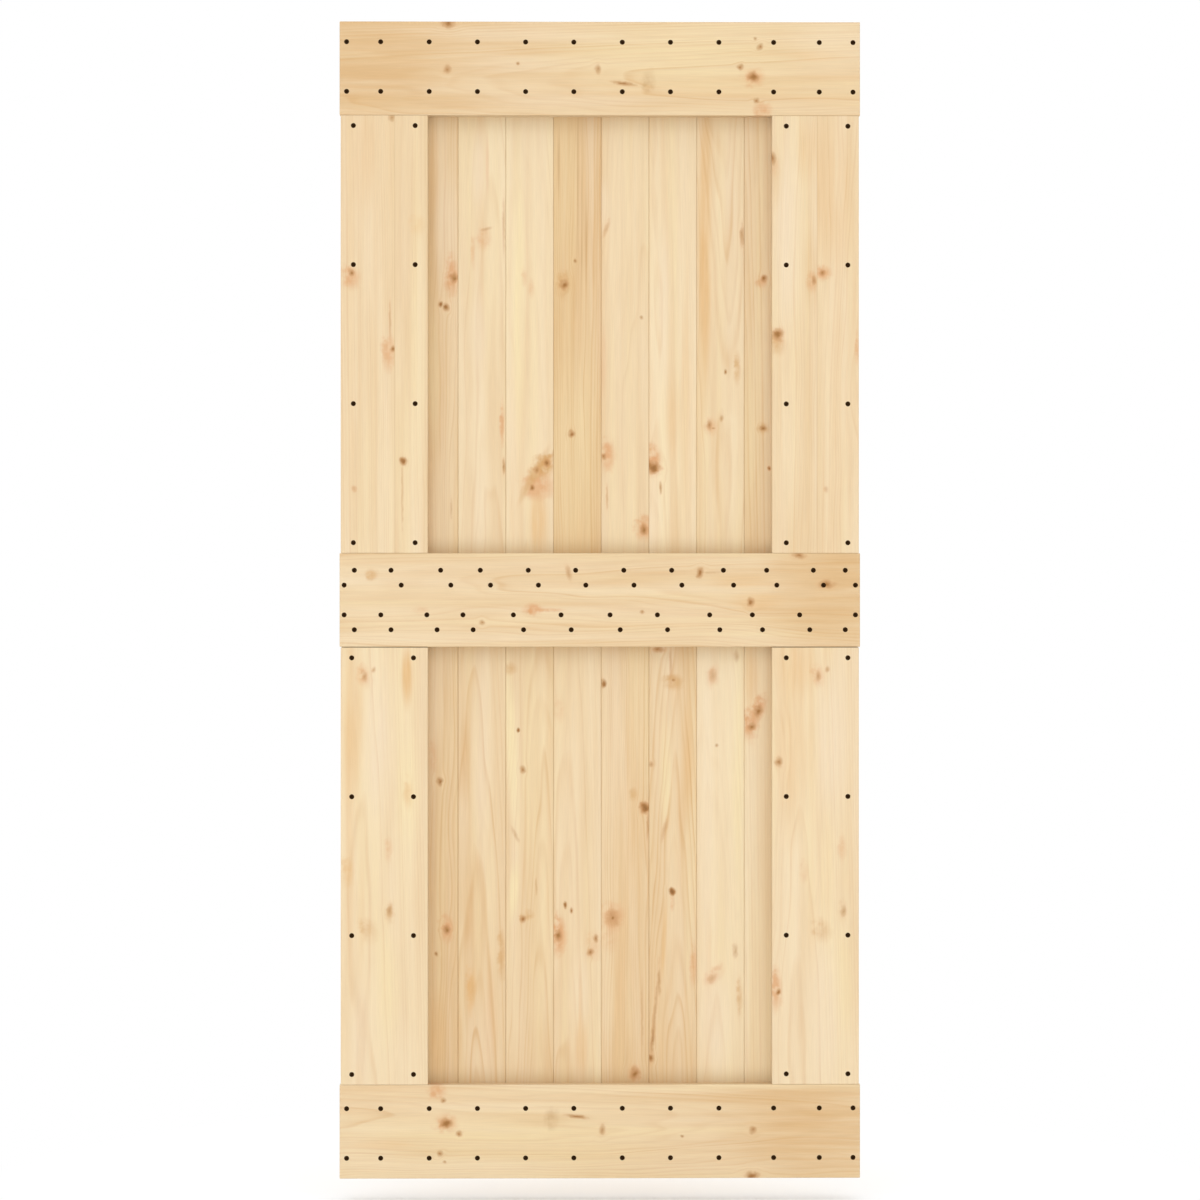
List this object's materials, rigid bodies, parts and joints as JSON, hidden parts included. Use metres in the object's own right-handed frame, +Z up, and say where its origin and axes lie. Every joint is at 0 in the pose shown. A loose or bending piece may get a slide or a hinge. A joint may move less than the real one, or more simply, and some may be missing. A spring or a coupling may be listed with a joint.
{
  "type": "sliding door leaf",
  "caption": "Flat pine sliding door leaf: upright tongue-and-groove boards screwed behind a face frame of rails and stiles, to hang from an overhead track by its top rail.",
  "frame": {"origin": "middle of the top rail's front face, where the hanger straps bolt on", "axes": "+X to the right seen from the front, +Y from the front to the back, +Z up"},
  "size_m": [0.945, 0.04, 2.1],
  "materials": {
    "pine_boards": "planed, untreated",
    "pine_frame": "planed, untreated",
    "black_screws": "black phosphate, satin"
  },
  "bodies": {
    "root": {"upper_board_01": "pine_boards", "upper_board_02": "pine_boards", "upper_board_03": "pine_boards", "upper_board_04": "pine_boards", "upper_board_05": "pine_boards", "upper_board_06": "pine_boards", "upper_board_07": "pine_boards", "upper_board_08": "pine_boards", "upper_board_09": "pine_boards", "upper_board_10": "pine_boards", "upper_board_11": "pine_boards", "upper_board_12": "pine_boards", "lower_board_01": "pine_boards", "lower_board_02": "pine_boards", "lower_board_03": "pine_boards", "lower_board_04": "pine_boards", "lower_board_05": "pine_boards", "lower_board_06": "pine_boards", "lower_board_07": "pine_boards", "lower_board_08": "pine_boards", "lower_board_09": "pine_boards", "lower_board_10": "pine_boards", "lower_board_11": "pine_boards", "lower_board_12": "pine_boards", "top_rail": "pine_frame", "middle_rail": "pine_frame", "bottom_rail": "pine_frame", "upper_left_stile": "pine_frame", "upper_right_stile": "pine_frame", "lower_left_stile": "pine_frame", "lower_right_stile": "pine_frame"}
  },
  "joints": []
}
